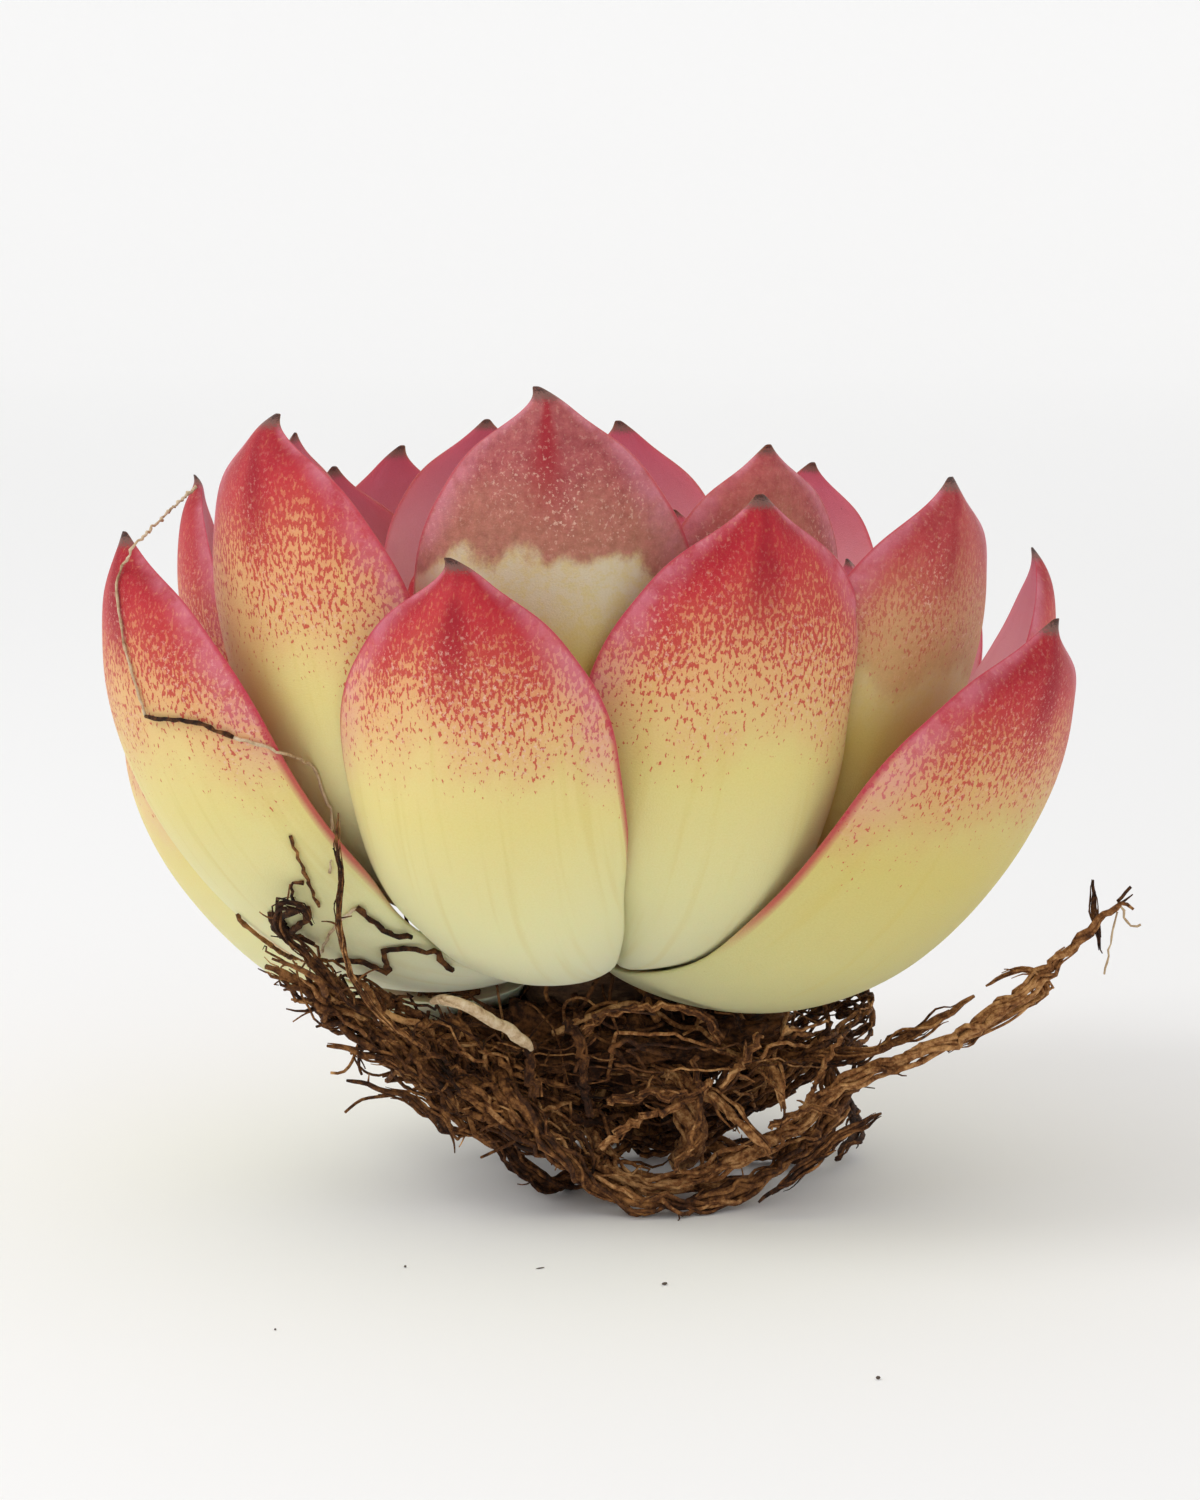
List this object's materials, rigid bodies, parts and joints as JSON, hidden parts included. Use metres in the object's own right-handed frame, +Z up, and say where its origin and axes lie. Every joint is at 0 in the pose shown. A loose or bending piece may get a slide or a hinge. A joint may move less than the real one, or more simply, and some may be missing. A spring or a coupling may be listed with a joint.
{
  "type": "bare-root succulent",
  "caption": "Rosette of fleshy, pointed, red-tipped leaves on a short stem, bare-rooted and standing on its own dried, wiry roots.",
  "frame": {"origin": "centre of the whole plant's footprint, on the surface that the roots stand on", "axes": "+Z up through the rosette; -Y is the front, and +X the side that the long root reaches towards"},
  "size_m": [0.0818, 0.0748, 0.0675],
  "materials": {
    "leaf_outer": "waxy satin, cream-yellow at the base to speckled red at the tip",
    "leaf_inner": "waxy satin, green-yellow to dull mauve",
    "stem": "matte",
    "root": "dry, fibrous",
    "root_pale": "dry, smooth"
  },
  "bodies": {
    "root": {"leaf_01": "leaf_outer", "leaf_02": "leaf_outer", "leaf_03": "leaf_outer", "leaf_04": "leaf_outer", "leaf_05": "leaf_outer", "leaf_06": "leaf_outer", "leaf_07": "leaf_outer", "leaf_08": "leaf_outer", "leaf_09": "leaf_outer", "leaf_10": "leaf_outer", "leaf_11": "leaf_outer", "leaf_12": "leaf_outer", "leaf_13": "leaf_outer", "leaf_14": "leaf_outer", "leaf_15": "leaf_outer", "leaf_16": "leaf_outer", "leaf_17": "leaf_outer", "leaf_18": "leaf_outer", "leaf_19": "leaf_outer", "leaf_20": "leaf_outer", "leaf_21": "leaf_inner", "leaf_22": "leaf_inner", "leaf_23": "leaf_inner", "leaf_24": "leaf_inner", "leaf_25": "leaf_inner", "leaf_26": "leaf_inner", "leaf_27": "leaf_inner", "leaf_28": "leaf_inner", "leaf_29": "leaf_inner", "leaf_30": "leaf_inner", "leaf_31": "leaf_inner", "leaf_32": "leaf_inner", "leaf_33": "leaf_inner", "leaf_34": "leaf_inner", "stem": "stem", "root_trunk_left": "root", "root_long": "root", "root_front_hoop": "root", "root_back_hoop": "root", "root_left_hoop": "root", "root_right_hoop": "root", "root_front_slant": "root", "root_thick": "root_pale", "root_stub": "root", "root_right_branch": "root", "root_lower_branch": "root", "root_curl_upper": "root", "root_curl_lower": "root", "root_knot": "root", "root_riser": "root", "root_pale": "root_pale", "root_back_right": "root", "root_back_left": "root", "root_tap": "root", "root_side_loop": "root", "root_end_twig": "root"}
  },
  "joints": []
}
